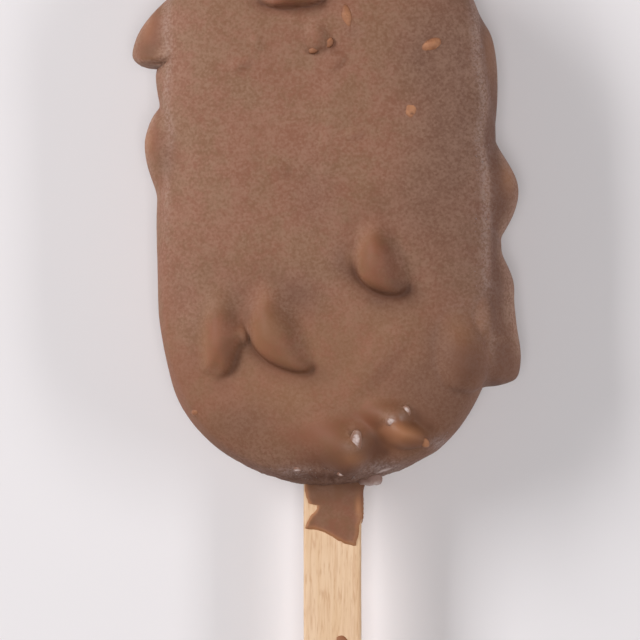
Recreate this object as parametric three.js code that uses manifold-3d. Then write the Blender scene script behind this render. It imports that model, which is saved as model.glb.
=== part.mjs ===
// A chocolate-coated almond ice cream bar on a flat wooden stick, lying on its back.
// Units are millimetres. The bar lies along Y with its stick towards -Y, its face up and its
// lowest nuts on the plane z = 0. Inside this file the bar's own centre is the middle of its body:
// the group is moved at the end so that the origin is under the middle of the whole thing.
import * as THREE from "three";
import { mergeVertices } from "three/addons/utils/BufferGeometryUtils.js";
import Module from "manifold-3d";

// Driving dimensions.
const BAR = {
  halfWidth: 27.6,
  halfLength: 47.5,
  halfThickness: 10.5,
  roundedEnd: 31.6, // length of each end over which the sides curve in
  planPower: 2.4, // how square the ends look from above
  sectionPower: 3.4, // how square the cross-section is
  endPower: 3.4, // how square the ends look from the side
  standoff: 1.8, // the back face clears the table by this much, on its nuts
  skew: 1.1, // the top end leans this far to the left
};
const STICK = {
  width: 9.5,
  thickness: 2,
  length: 114,
  inside: 62, // how much of it the ice cream holds
  offset: 0.75, // it sits this far right of the bar's middle
  edge: 0.3, // tumbled edge
};
const SLOT_GAP = 0.25; // between the stick and what surrounds it
const SKIN = 0.45; // chocolate that ran down the stick
const RINGS = 66; // stations from end to end
const AROUND = 76; // points on each station
const MID_Z = BAR.standoff + BAR.halfThickness;
const STRAIGHT = BAR.halfLength - BAR.roundedEnd;
const GOLDEN = (Math.sqrt(5) - 1) / 2;

// Nuts under the coating: side, place (x and y on a face, z and y on a flank), length, width,
// height and the way its head points in degrees (0 is +X, or up on a flank). Then crest and lean
// say where the summit is from tail to head and from side to side, toe and tail how softly the two
// ends fall (less is steeper), flat how level the top is, corner how boxy the head's outline is,
// slant how far its edge slants, point how much it narrows, and soft how far the side to the left
// of its heading melts into the face (below 0, the side to the right).
const PLAIN_NUT = {
  crest: 0.6, lean: 0.5, toe: 1, tail: 2.3, flat: 2, corner: 2.2, slant: 0, point: 0, soft: 0,
};
const nut = (side, across, along, length, width, height, turn, form = {}) => ({
  ...PLAIN_NUT, side, across, along, length, width, height, turn, ...form,
});
const SHOWN_NUTS = [
  // the nut at the middle right
  nut("front", 9.35, -10.4, 12.6, 9.6, 3.1, -92, {
    crest: 0.58, lean: 0.44, toe: 0.66, corner: 2.3, slant: 0.36, flat: 2.6, soft: 1,
  }),
  // the pair at the lower left
  nut("front", -17.6, -22.6, 14.8, 9.2, 2.7, -79, {
    crest: 0.62, lean: 0.54, toe: 0.7, slant: -0.75, point: 0.9, soft: -2,
  }),
  nut("front", -15.0, -23.5, 5.4, 4.2, 1.2, -14, { toe: 0.7, point: 0.6 }),
  nut("front", -7.3, -21.6, 14.2, 11.2, 2.9, -86, {
    crest: 0.62, lean: 0.42, toe: 0.66, corner: 2.3, slant: 0.54, flat: 2.6, soft: 1,
  }),
  // the smooth ones by the stick
  nut("front", 1.6, -41.0, 13.4, 10.6, 2.8, -30, { crest: 0.62, toe: 1.4, corner: 2.4, flat: 2.6 }),
  nut("front", 9.8, -36.6, 9.6, 6.4, 1.9, -12, { crest: 0.58, toe: 1.2, flat: 2.4 }),
  nut("front", 12.9, -39.9, 9.4, 5.4, 3.0, -17, {
    crest: 0.42, lean: 0.6, toe: 0.9, point: 1.4, tail: 1.2, soft: -0.6,
  }),
  // the broad one at the right shoulder, and the streak beside it
  nut("front", 22.6, -26.0, 14.0, 10.0, 2.1, -80, { lean: 0.46, toe: 0.9, corner: 2.4, flat: 2.4 }),
  nut("front", 8.0, -27.8, 18.0, 8.0, 0.55, 50, { crest: 0.5, lean: 0.4, toe: 1.8 }),
  nut("front", 26.6, -20.4, 8.8, 4.6, 1.2, -90, { crest: 0.5, toe: 0.8 }),
  // above
  nut("front", -4.4, 35.6, 11.6, 11.0, 3.2, -86, { crest: 0.76, toe: 0.6, corner: 2.6 }),
  nut("front", -0.4, 25.4, 5.8, 5.0, 1.3, -84, { crest: 0.62, lean: 0.46, toe: 0.85, corner: 2.4 }),
  nut("front", 1.4, 22.0, 5.4, 4.2, 0.5, -50, { crest: 0.7, toe: 0.8, corner: 2.4 }),
  nut("front", 2.6, 9.0, 30.0, 7.0, 0.2, -92, { crest: 0.5, lean: 0.22, toe: 1.6 }),
  nut("front", -13.4, 20.4, 4.8, 2.6, 0.5, 24, { crest: 0.5 }),
  nut("front", -10.6, 24.2, 3.6, 3.0, 0.35, -70, { crest: 0.5 }),
  nut("front", -7.8, 3.8, 5.4, 3.6, 0.4, -30, { crest: 0.5 }),
  nut("front", 4.3, 8.8, 4.6, 2.6, 0.4, 10, { crest: 0.5 }),
  nut("front", 15.2, 36.5, 9.0, 6.5, 1.8, -120),
  // left flank
  nut("left", 0.6, 27.5, 12.6, 14.0, 4.9, -90, { crest: 0.78, toe: 0.56, corner: 2.6, tail: 1.5 }),
  nut("left", 1.0, 18.4, 7.6, 12.0, 0.7, -90, { crest: 0.2, toe: 1.3 }),
  nut("left", 1.0, 6.2, 16.4, 14.0, 2.8, 90, { crest: 0.58, toe: 1, tail: 1.6 }),
  nut("left", 0.0, -6.0, 38.0, 18.0, 0.8, -90, { crest: 0.5, toe: 1.5 }),
  nut("left", -3.5, -14.0, 8.0, 6.0, 0.5, -70),
  nut("left", -1.0, -33.0, 16.0, 14.0, 0.5, -90, { crest: 0.5, toe: 1.5 }),
  nut("left", -1.0, -44.2, 4.2, 12.0, 0.6, -90, { crest: 0.5, toe: 1.2 }),
  // right flank
  nut("right", 1.0, 20.8, 19.0, 10.0, 1.0, -90, { crest: 0.3, toe: 1.1 }),
  nut("right", 0.0, -12.0, 50.0, 18.0, 0.9, -90, { crest: 0.5, toe: 1.6 }),
  nut("right", 0.6, 0.4, 17.0, 13.0, 3.9, -90, { crest: 0.46, toe: 1.2, tail: 1.6 }),
  nut("right", 0.5, -15.5, 15.0, 12.0, 3.0, -90, { crest: 0.48, toe: 1, tail: 1.6 }),
  nut("right", 0.0, -21.6, 15.0, 13.0, 3.6, -90, { crest: 0.5, toe: 1, tail: 1.2 }),
  nut("right", 0.0, -25.0, 13.8, 14.0, 4.9, -90, {
    crest: 0.66, toe: 1.15, corner: 2.5, tail: 1.3,
  }),
  nut("right", -1.0, -43.1, 4.6, 12.0, 0.7, -90, { crest: 0.5, toe: 1.2 }),
];
// The back's nuts are spread by the golden ratio. Its tallest reach the table.
const BACK_NUTS = { count: 13, spanX: 38, spanY: 74, length: 9, width: 6.4, height: 1.9 };
const REST_NUTS = [
  nut("back", 0, 0, 12.0, 10.0, 3.0, -80, { crest: 0.55 }),
  nut("back", -15.0, 19.0, 10.8, 8.8, 3.1, -60),
  nut("back", 14.5, 22.0, 10.8, 9.0, 3.1, -110),
  nut("back", -14.0, -24.0, 11.2, 8.8, 3.2, -75),
  nut("back", 15.0, -21.5, 10.8, 8.8, 3.1, -95),
];
// Bare almond bits that break through the coating: side, x, y, length, width, height, turn.
const crumb = (side, across, along, length, width, height, turn) => ({
  side, across, along, length, width, height, turn,
});
const CRUMB_SUNK = 0.25; // as a share of its height
const CRUMBS = [
  crumb("front", 4.5, 28.3, 4.2, 2.1, 1.5, -80),
  crumb("front", 18.1, 23.5, 4.4, 2.3, 1.8, 24),
  crumb("front", 14.2, 12.9, 2.8, 2.2, 0.6, 80),
  crumb("front", 1.4, 23.9, 2.0, 1.5, 1.0, 60),
  crumb("front", -1.2, 22.8, 1.8, 1.3, 0.9, 20),
  crumb("front", -21.4, -36.2, 2.0, 1.4, 1.2, 30),
  crumb("front", 15.4, -40.4, 2.2, 1.6, 1.8, -60),
  crumb("back", -6.0, 31.0, 3.2, 1.8, 1.3, 40),
  crumb("back", 8.0, -12.0, 2.8, 1.7, 1.2, -30),
  crumb("back", -9.0, -8.5, 2.4, 1.6, 1.1, 75),
  crumb("back", 4.5, -37.0, 3.0, 1.8, 1.2, 10),
];

const wasm = await Module();
wasm.setup();

// The body is a box with rounded ends and edges, worked out from powers of x, y and z.
const clamp = (value, low, high) => Math.min(high, Math.max(low, value));
const smooth = (low, high, value) => {
  const t = clamp((value - low) / (high - low), 0, 1);
  return t * t * (3 - 2 * t);
};
const endShare = (y) => clamp((Math.abs(y) - STRAIGHT) / BAR.roundedEnd, 0, 1);
const superRise = (share, power) => Math.pow(1 - Math.pow(share, power), 1 / power);
const taper = (y, power) => superRise(endShare(y), power);
const halfWidthAt = (y) => BAR.halfWidth * taper(y, BAR.planPower);
const halfThicknessAt = (y) => BAR.halfThickness * taper(y, BAR.endPower);
const skewAt = (y) => -BAR.skew * smooth(8, 38, y);

// Outward direction of the plain body at a point on it.
function outward(point) {
  const { x, y, z } = point;
  const share = endShare(y);
  if (share > 0.9999) return new THREE.Vector3(0, Math.sign(y), 0);
  const p = BAR.sectionPower;
  const w = halfWidthAt(y);
  const t = halfThicknessAt(y);
  const slope = (power) =>
    (Math.sign(y) * Math.pow(share, power - 1)) / (BAR.roundedEnd * (1 - Math.pow(share, power)));
  return new THREE.Vector3(
    (Math.sign(x) * Math.pow(Math.abs(x) / w, p - 1)) / w,
    Math.pow(Math.abs(x) / w, p) * slope(BAR.planPower) +
      Math.pow(Math.abs(z) / t, p) * slope(BAR.endPower),
    (Math.sign(z) * Math.pow(Math.abs(z) / t, p - 1)) / t,
  ).normalize();
}

// A place on one side of the plain body, with the directions that a nut there is laid along.
function anchor({ side, across, along, turn }) {
  const angle = THREE.MathUtils.degToRad(turn);
  const onFace = side === "front" || side === "back";
  const sign = side === "front" || side === "right" ? 1 : -1;
  const [span, rest] = onFace
    ? [halfWidthAt(along), halfThicknessAt(along)]
    : [halfThicknessAt(along), halfWidthAt(along)];
  const reach = sign * rest * superRise(Math.min(Math.abs(across) / span, 1), BAR.sectionPower);
  const at = onFace
    ? new THREE.Vector3(across, along, reach)
    : new THREE.Vector3(reach, along, across);
  const up = onFace ? new THREE.Vector3(0, 0, sign) : new THREE.Vector3(sign, 0, 0);
  const head = onFace
    ? new THREE.Vector3(Math.cos(angle), Math.sin(angle), 0)
    : new THREE.Vector3(0, Math.sin(angle), Math.cos(angle));
  const cross = new THREE.Vector3().crossVectors(up, head);
  return { at, up, head, cross };
}

// Nuts of the back, spread over its face by the golden ratio.
function backNuts() {
  return Array.from({ length: BACK_NUTS.count }, (_, i) => {
    const share = (step) => ((i + 1) * step) % 1;
    const size = 0.7 + 0.6 * share(GOLDEN * 3);
    return nut(
      "back",
      BACK_NUTS.spanX * (share(GOLDEN) - 0.5),
      BACK_NUTS.spanY * ((i + 0.5) / BACK_NUTS.count - 0.5),
      BACK_NUTS.length * size,
      BACK_NUTS.width * size,
      BACK_NUTS.height * size * (0.6 + 0.4 * share(GOLDEN * 5)),
      -180 * share(GOLDEN * 7),
    );
  });
}

const NUTS = [...SHOWN_NUTS, ...REST_NUTS, ...backNuts()].map((n) => ({ ...n, ...anchor(n) }));
// A nut shows where the surface faces its side: not at all and in full at these shares.
const TURNED = { face: [0.1, 0.6], flank: [0.5, 0.9] };
const TAIL_POINT = 0.15; // how much a tail narrows
const MELTED = 1.6; // how softly a soft side falls
const JOIN = 3; // how softly overlapping nuts melt together
const OVERHANG = 0.2; // how far a nut leans over its head, as a share of its height
const RIM = { height: 0.2, tilt: 0.7, spread: 0.17 }; // thicker chocolate along the shoulder
const COLLAR = { height: 0.4, spread: 8.3, from: -45.4, to: -47.2 }; // and where it meets the stick

// How far along a half-axis a distance lies, where the two halves have different lengths.
function unevenShare(distance, size, summit) {
  const ahead = smooth(-0.2 * size, 0.2 * size, distance);
  return distance / (size * (summit + (1 - 2 * summit) * ahead));
}

// A nut's height over a point: (1 - r to one power) to another, where r is 1 at its outline.
function nutRise(n, offset, normal) {
  const turned = n.side === "front" || n.side === "back" ? TURNED.face : TURNED.flank;
  const near = smooth(...turned, normal.dot(n.up));
  if (near === 0) return 0;
  const v = offset.dot(n.cross) - (n.lean - 0.5) * n.width;
  const u = offset.dot(n.head) - (n.crest - 0.5) * n.length - n.slant * v;
  const a = unevenShare(u, n.length, n.crest);
  const headness = smooth(-0.2, 0.8, a);
  const point = TAIL_POINT * (1 - headness) + n.point * headness;
  const b = unevenShare(v, n.width, n.lean) * (1 + point * a * a);
  const corner = 2 + (n.corner - 2) * headness;
  const r = Math.pow(Math.abs(a) ** corner + Math.abs(b) ** corner, 1 / corner);
  if (r >= 1) return 0;
  const softness = Math.min(Math.abs(n.soft), 1);
  const behind = 1 - smooth(0.1, 0.6, a - (n.soft < 0 ? 0.5 : 0));
  const soft = softness * smooth(0, 0.9, b * n.soft) * behind;
  let level = 2 + (n.flat - 2) * smooth(-0.8, 0.3, a);
  level += (MELTED - level) * soft;
  let power = n.tail + (n.toe - n.tail) * headness;
  power += (Math.max(MELTED, power) - power) * soft;
  return n.height * near * Math.pow(1 - r ** level, power);
}

// Long shallow waves of the coating, and the collar where it meets the stick.
function waves({ x, y, z }) {
  const sideways = Math.exp(-(((x - STICK.offset) / COLLAR.spread) ** 2));
  return (
    0.16 * Math.sin(0.17 * x + 0.11 * y + 1.3) * Math.cos(0.13 * y - 0.09 * x + 0.4) +
    0.1 * Math.sin(0.31 * y + 0.22 * z + 2.1) * Math.cos(0.27 * x + 0.8) +
    COLLAR.height * sideways * smooth(COLLAR.from, COLLAR.to, y)
  );
}

// Moves a point of the plain body out to the coating's surface.
function coat(point) {
  const normal = outward(point);
  const drift = new THREE.Vector3();
  let sum = 0;
  for (const n of NUTS) {
    const rise = nutRise(n, point.clone().sub(n.at), normal);
    sum += Math.pow(rise, JOIN);
    drift.addScaledVector(n.head, OVERHANG * rise);
  }
  const rim = RIM.height * Math.exp(-(((normal.z - RIM.tilt) / RIM.spread) ** 2));
  const height = Math.pow(sum, 1 / JOIN) + waves(point) + rim;
  const out = point.clone().addScaledVector(normal, height).add(drift);
  out.x += skewAt(point.y);
  out.z = Math.max(out.z + MID_Z, 0);
  return out;
}

// Even steps along a curve: `curve(t)` gives [x, y] for t from 0 to 1.
function evenSteps(curve, count) {
  const fine = 4000;
  const lengths = [0];
  for (let i = 1; i <= fine; i++) {
    const [x0, y0] = curve((i - 1) / fine);
    const [x1, y1] = curve(i / fine);
    lengths.push(lengths[i - 1] + Math.hypot(x1 - x0, y1 - y0));
  }
  const steps = [];
  for (let i = 0, j = 0; i <= count; i++) {
    const wanted = (lengths[fine] * i) / count;
    while (j < fine && lengths[j + 1] < wanted) j++;
    const within = (wanted - lengths[j]) / (lengths[j + 1] - lengths[j] || 1);
    steps.push((j + clamp(within, 0, 1)) / fine);
  }
  return steps;
}

const superPoint = (angle, power, a, b) => {
  const fold = (value) => Math.sign(value) * Math.pow(Math.abs(value), 2 / power);
  return [a * fold(Math.cos(angle)), b * fold(Math.sin(angle))];
};

// The y of each ring, evenly spaced along the bar's side view from one tip to the other.
function stations() {
  const endShareOfCurve = 0.4;
  const sideView = (t) => {
    const fromEnd = Math.min(t, 1 - t);
    const angle = (Math.PI / 2) * Math.min(fromEnd / endShareOfCurve, 1);
    const [out, up] = superPoint(angle, BAR.endPower, BAR.roundedEnd, BAR.halfThickness);
    const straight = STRAIGHT * clamp((0.5 - fromEnd) / (0.5 - endShareOfCurve), 0, 1);
    return [Math.sign(t - 0.5) * (out + straight), up];
  };
  return evenSteps(sideView, RINGS).map((t) => sideView(t)[0]);
}

// A ring's shape at full size, as shares of half the width and half the thickness.
function ringShares() {
  const ring = (t) =>
    superPoint(2 * Math.PI * t, BAR.sectionPower, BAR.halfWidth, BAR.halfThickness);
  return evenSteps(ring, AROUND)
    .slice(0, AROUND)
    .map((t) => {
      const [x, z] = ring(t);
      return [x / BAR.halfWidth, z / BAR.halfThickness];
    });
}

function coatedBody() {
  const ys = stations().slice(1, -1);
  const shares = ringShares();
  const positions = [];
  const push = (point) => positions.push(...coat(point).toArray());
  for (const y of ys)
    for (const [x, z] of shares)
      push(new THREE.Vector3(x * halfWidthAt(y), y, z * halfThicknessAt(y)));
  push(new THREE.Vector3(0, -BAR.halfLength, 0));
  push(new THREE.Vector3(0, BAR.halfLength, 0));
  const index = [];
  const id = (i, j) => i * AROUND + (j % AROUND);
  const [low, high] = [ys.length * AROUND, ys.length * AROUND + 1];
  for (let j = 0; j < AROUND; j++) {
    index.push(low, id(0, j), id(0, j + 1));
    index.push(high, id(ys.length - 1, j + 1), id(ys.length - 1, j));
    for (let i = 0; i < ys.length - 1; i++) {
      index.push(id(i, j), id(i + 1, j), id(i + 1, j + 1));
      index.push(id(i, j), id(i + 1, j + 1), id(i, j + 1));
    }
  }
  return new THREE.BufferGeometry()
    .setAttribute("position", new THREE.Float32BufferAttribute(positions, 3))
    .setIndex(index);
}

// A bare almond bit: a squashed icosahedron lying on the coating, partly sunk into it.
function almondBit(c) {
  const { at, head } = anchor(c);
  const up = outward(at);
  const middle = coat(at).addScaledVector(up, -CRUMB_SUNK * c.height);
  const flat = head.clone().addScaledVector(up, -head.dot(up)).normalize();
  const cross = new THREE.Vector3().crossVectors(up, flat);
  const half = new THREE.Matrix4().makeScale(c.length / 2, c.width / 2, c.height / 2);
  const place = new THREE.Matrix4().makeBasis(flat, cross, up).setPosition(middle);
  return new THREE.IcosahedronGeometry(1, 0).applyMatrix4(place.multiply(half));
}

// Chocolate that ran down the stick, seen from above, from inside the bar to its ragged end.
function runOutline() {
  const left = STICK.offset - STICK.width / 2;
  const right = STICK.offset + STICK.width / 2 + SLOT_GAP + SKIN;
  const base = -BAR.halfLength;
  const outline = new THREE.Shape();
  outline.moveTo(left - SLOT_GAP - SKIN, base + 4);
  outline.lineTo(left - SLOT_GAP - SKIN, base - 0.4);
  outline.quadraticCurveTo(left + 0.5, base - 1.4, left + 0.6, base - 3.4);
  outline.lineTo(left + 1.9, base - 3.8);
  outline.quadraticCurveTo(left + 2.2, base - 5.2, left + 0.7, base - 7.6);
  outline.lineTo(left + 2.6, base - 8.3);
  outline.lineTo(left + 5.6, base - 9.8);
  outline.lineTo(right - 1.6, base - 10.6);
  outline.quadraticCurveTo(right - 0.5, base - 10.2, right - 0.4, base - 7);
  outline.lineTo(right, base - 3.6);
  outline.lineTo(right, base + 4);
  return outline;
}

function flatBlock(shape, thickness, bevel = 0) {
  const block = new THREE.ExtrudeGeometry(shape, {
    depth: thickness - 2 * bevel,
    bevelEnabled: bevel > 0,
    bevelThickness: bevel,
    bevelSize: bevel,
    bevelOffset: -bevel,
    bevelSegments: 1,
    curveSegments: 8,
  });
  return block.translate(0, 0, MID_Z - thickness / 2 + bevel);
}

// A flat stick with two round ends, grown all round by `extra`.
function stickShape(extra) {
  const r = STICK.width / 2;
  const top = -BAR.halfLength + STICK.inside - r;
  const bottom = top - STICK.length + 2 * r;
  const shape = new THREE.Shape();
  shape.absarc(STICK.offset, top, r + extra, 0, Math.PI, false);
  shape.absarc(STICK.offset, bottom, r + extra, Math.PI, 2 * Math.PI, false);
  shape.closePath();
  return shape;
}

// Joining and cutting.
function toSolid(geometry) {
  const bare = geometry.index ? geometry.toNonIndexed() : geometry.clone();
  bare.deleteAttribute("normal");
  bare.deleteAttribute("uv");
  const merged = mergeVertices(bare, 1e-4);
  return new wasm.Manifold(
    new wasm.Mesh({
      numProp: 3,
      vertProperties: merged.attributes.position.array,
      triVerts: new Uint32Array(merged.index.array),
    }),
  );
}

function toGeometry(solid) {
  const { vertProperties, triVerts } = solid.getMesh();
  const geometry = new THREE.BufferGeometry()
    .setAttribute("position", new THREE.BufferAttribute(vertProperties, 3))
    .setIndex(new THREE.BufferAttribute(triVerts, 1));
  geometry.computeVertexNormals();
  return geometry;
}

function makeCoatedBar() {
  let bar = toSolid(coatedBody());
  for (const c of CRUMBS) bar = bar.add(toSolid(almondBit(c)));
  const runThickness = STICK.thickness + 2 * (SLOT_GAP + SKIN);
  bar = bar.add(toSolid(flatBlock(runOutline(), runThickness)));
  const slot = flatBlock(stickShape(SLOT_GAP), STICK.thickness + 2 * SLOT_GAP);
  return toGeometry(bar.subtract(toSolid(slot)));
}

// Assembly.
const milkChocolate = new THREE.MeshStandardMaterial({ color: 0x8f6856, roughness: 0.55, metalness: 0 });
const paleWood = new THREE.MeshStandardMaterial({ color: 0xddbe9a, roughness: 0.75, metalness: 0 });

const coatedBar = new THREE.Mesh(makeCoatedBar(), milkChocolate);
coatedBar.name = "coated_bar";
const stick = new THREE.Mesh(flatBlock(stickShape(0), STICK.thickness, STICK.edge), paleWood);
stick.name = "stick";

const iceCreamBar = new THREE.Group();
iceCreamBar.add(coatedBar, stick);
const extent = new THREE.Box3().setFromObject(iceCreamBar);
const middle = extent.getCenter(new THREE.Vector3());
iceCreamBar.position.set(-middle.x, -middle.y, 0);
export default iceCreamBar;
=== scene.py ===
import math

import bpy
import numpy as np
from mathutils import Matrix, Vector


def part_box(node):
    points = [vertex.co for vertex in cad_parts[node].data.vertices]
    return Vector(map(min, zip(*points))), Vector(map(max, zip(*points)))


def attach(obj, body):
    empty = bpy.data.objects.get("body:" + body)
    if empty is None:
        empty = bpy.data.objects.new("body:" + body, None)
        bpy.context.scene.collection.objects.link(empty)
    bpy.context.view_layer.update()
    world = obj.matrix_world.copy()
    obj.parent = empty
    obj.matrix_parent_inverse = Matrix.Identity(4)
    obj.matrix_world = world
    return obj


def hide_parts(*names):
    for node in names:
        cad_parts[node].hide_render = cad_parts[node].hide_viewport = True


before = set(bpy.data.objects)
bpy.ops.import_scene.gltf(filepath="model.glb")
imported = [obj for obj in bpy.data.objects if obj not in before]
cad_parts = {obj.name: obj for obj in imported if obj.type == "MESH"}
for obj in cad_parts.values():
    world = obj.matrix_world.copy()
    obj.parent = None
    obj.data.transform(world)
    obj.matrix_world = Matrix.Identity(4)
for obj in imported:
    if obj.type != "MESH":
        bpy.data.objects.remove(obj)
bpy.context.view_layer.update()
mm = 0.001

# the bar's body, in millimetres, about the middle of the body
bar = {
    "halfWidth": 27.6,
    "halfLength": 47.5,
    "halfThickness": 10.5,
    "roundedEnd": 31.6,  # length of each end over which the sides curve in
    "planPower": 2.4,  # how square the ends look from above
    "sectionPower": 3.4,  # how square the cross-section is
    "endPower": 3.4,  # how square the ends look from the side
    "standoff": 1.8,  # the back clears the table by this much, on its nuts
    "skew": 1.1,  # the top end leans this far to the left
    "skewOver": (8, 38),  # it starts to along this stretch of y
    "nearTip": 0.9995,  # past this share of an end the surface turns no further
    "tip": 0.9999,  # and past this one it faces straight out of the end
    "rings": 270,
    "around": 356,
}
stick = {
    "width": 9.5,
    "thickness": 2.0,
    "length": 114.0,
    "inside": 62.0,  # this much of it is in the bar
    "offset": 0.75,  # and it is this far right of the bar's middle
}
midZ = bar["standoff"] + bar["halfThickness"]
straight = bar["halfLength"] - bar["roundedEnd"]
golden = (math.sqrt(5) - 1) / 2
tiny = 1e-9  # keeps a power or a division finite
# curves are drawn with this many points, then divided into even steps
drawn = {"end": 3000, "section": 9000, "stickEnd": 400}

# the frame's origin is under the middle of the whole thing, and the stick shows by how much
stickLow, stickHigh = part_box("stick")
shift = np.array([
    (stickLow.x + stickHigh.x) / 2 / mm - stick["offset"],
    stickLow.y / mm + bar["halfLength"] - stick["inside"] + stick["length"],
    midZ,
])


def smooth(low, high, value):
    t = np.clip((value - low) / (high - low), 0, 1)
    return t * t * (3 - 2 * t)


# 1 at the middle, and almost nothing twice the width away from it
def bell(value, middle, width):
    return np.exp(-((value - middle) / width) ** 2)


# value noise: random numbers on a cubic lattice, eased between neighbours. A number added to the
# points gives another pattern of the same kind.
def makeNoise(seed, cells=24):
    lattice = np.random.default_rng(seed).uniform(-1, 1, (cells, cells, cells))

    def noise(points, size):
        scaled = points / size
        base = np.floor(scaled).astype(int)
        part = scaled - base
        part = part * part * (3 - 2 * part)
        total = np.zeros(len(points))
        for corner in np.ndindex(2, 2, 2):
            weight = np.prod(np.where(corner, part, 1 - part), axis=1)
            total += weight * lattice[tuple(((base + corner) % cells).T)]
        return total

    return noise


# how far into a curved end each y is, and the taper there: (1 - share^power)^(1/power)
def endShare(y):
    return np.clip((np.abs(y) - straight) / bar["roundedEnd"], 0, 1)


def taper(y, power):
    return np.maximum(1 - endShare(y) ** power, 0) ** (1 / power)


def halfWidthAt(y):
    return bar["halfWidth"] * taper(y, bar["planPower"])


def halfThicknessAt(y):
    return bar["halfThickness"] * taper(y, bar["endPower"])


# how far the bar leans to the left
def skewAt(y):
    return bar["skew"] * smooth(*bar["skewOver"], y)


# superellipse: a and b times powers of the cosine and sine
def superCurve(angle, power, a, b):
    fold = 2 / power
    c, s = np.cos(angle), np.sin(angle)
    return a * np.sign(c) * np.abs(c) ** fold, b * np.sign(s) * np.abs(s) ** fold


# points at even steps of length along a finely drawn curve
def evenPoints(xs, ys, count):
    lengths = np.concatenate([[0], np.cumsum(np.hypot(np.diff(xs), np.diff(ys)))])
    wanted = np.linspace(0, lengths[-1], count)
    return np.interp(wanted, lengths, xs), np.interp(wanted, lengths, ys)


# the places of the rings: even steps along the body's outline from the side
def stationYs(count):
    quarter = np.linspace(0, np.pi / 2, drawn["end"])
    out, up = superCurve(quarter, bar["endPower"], bar["roundedEnd"], bar["halfThickness"])
    ys = np.concatenate([-(out + straight), (out + straight)[::-1]])
    return evenPoints(ys, np.concatenate([up, up[::-1]]), count)[0]


# a cross-section's shape, as shares of its half width and half thickness
def loopShares(power, halfWidth, halfThickness, count):
    angle = np.linspace(0, 2 * np.pi, drawn["section"])
    xs, zs = superCurve(angle, power, halfWidth, halfThickness)
    xs, zs = evenPoints(xs, zs, count + 1)
    return xs[:-1] / halfWidth, zs[:-1] / halfThickness


# outward direction: the slope of (x / width)^p + (z / thickness)^p at each y
def outward(points):
    x, y, z = points.T
    p = bar["sectionPower"]
    share = np.minimum(endShare(y), bar["nearTip"])
    w = bar["halfWidth"] * (1 - share ** bar["planPower"]) ** (1 / bar["planPower"])
    t = bar["halfThickness"] * (1 - share ** bar["endPower"]) ** (1 / bar["endPower"])
    gx, gz = np.abs(x) / w, np.abs(z) / t

    def slope(power):
        return np.sign(y) * share ** (power - 1) / (bar["roundedEnd"] * (1 - share ** power))

    normals = np.stack([
        np.sign(x) * gx ** (p - 1) / w,
        gx ** p * slope(bar["planPower"]) + gz ** p * slope(bar["endPower"]),
        np.sign(z) * gz ** (p - 1) / t,
    ], axis=1)
    tips = endShare(y) > bar["tip"]
    normals[tips] = np.stack([0 * y, np.sign(y), 0 * y], axis=1)[tips]
    return normals / np.linalg.norm(normals, axis=1, keepdims=True)


# a place on one side of the plain body, and the directions something there is laid along
def anchor(side, across, along, turn):
    angle = math.radians(turn)
    sign = 1 if side in ("front", "right") else -1
    onFace = side in ("front", "back")
    span = halfWidthAt(along) if onFace else halfThicknessAt(along)
    rest = halfThicknessAt(along) if onFace else halfWidthAt(along)
    p = bar["sectionPower"]
    reach = sign * rest * (1 - min(abs(across) / span, 1) ** p) ** (1 / p)
    at = (across, along, reach) if onFace else (reach, along, across)
    up = (0, 0, sign) if onFace else (sign, 0, 0)
    head = (math.cos(angle), math.sin(angle), 0) if onFace else (0, math.sin(angle), math.cos(angle))
    return np.array(at, float), np.array(up, float), np.array(head), np.cross(up, head)


# pairs of numbers are ranges, from where something starts to where it is full
coating = {
    "onFace": (0.1, 0.6),  # how squarely the surface faces a nut's side where the nut shows,
    "onFlank": (0.5, 0.9),  # with 0 for edge on and 1 for straight at it
    "summit": 0.2,  # its two half lengths pass into each other over this share to either side
    "head": (-0.2, 0.8),  # from tail to head, in half lengths
    "level": (-0.8, 0.3),  # from a round top to a level one
    "tailPoint": 0.15,  # how much a tail narrows
    "melted": 1.6,  # how softly a soft side falls
    "softSide": (0.0, 0.9),  # from the crest to the side
    "softEnd": (0.1, 0.6),  # from the soft part to the head
    "softRight": 0.5,  # a soft right side reaches this much nearer to the head
    "body": (0.05, 0.5),  # from a nut's foot to its body, in shares of its height
    # the side of a nut turned from the light gets painted shade, its steep side towards the light gets
    # painted light
    "shadedSideSpan": (-0.1, 0.8),
    "litSideSpan": (-0.2, 0.8),
    "covered": (0.4, 1.4),  # the coating's height over which a fold or hollow of another nut ends
    "join": 3.0,  # how softly overlapping nuts melt together
    "overhang": 0.2,  # how far a nut leans over its head, as a share of its height
    "rim": 0.2,  # height of the thicker chocolate along the shoulder
    "rimTilt": 0.70,  # it is where the surface faces up this much
    "rimWidth": 0.17,
    "collar": 0.4,  # the chocolate swells by this much where it meets the stick
    "collarWidth": 8.3,
    "collarOver": (-45.4, -47.2),
}
# marks round a nut's foot: how far outside its outline, how wide and how deep
footMarks = {
    "fold": {"out": 0.2, "width": 0.5, "depth": 0.3, "head": (0.05, 0.7)},
    "hollow": {"out": 0.7, "width": 1.9, "depth": 0.2, "tail": 0.35},  # shallower round the tail
    "ring": {"out": 0.1, "width": 0.55},
}
# slow waves: height, then the slopes in x, y and z and the phase of a sine and of a cosine
slowWaves = [
    (0.16, (0.17, 0.11, 0, 1.3), (-0.09, 0.13, 0, 0.4)),
    (0.1, (0, 0.31, 0.22, 2.1), (0.27, 0, 0, 0.8)),
]


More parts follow.
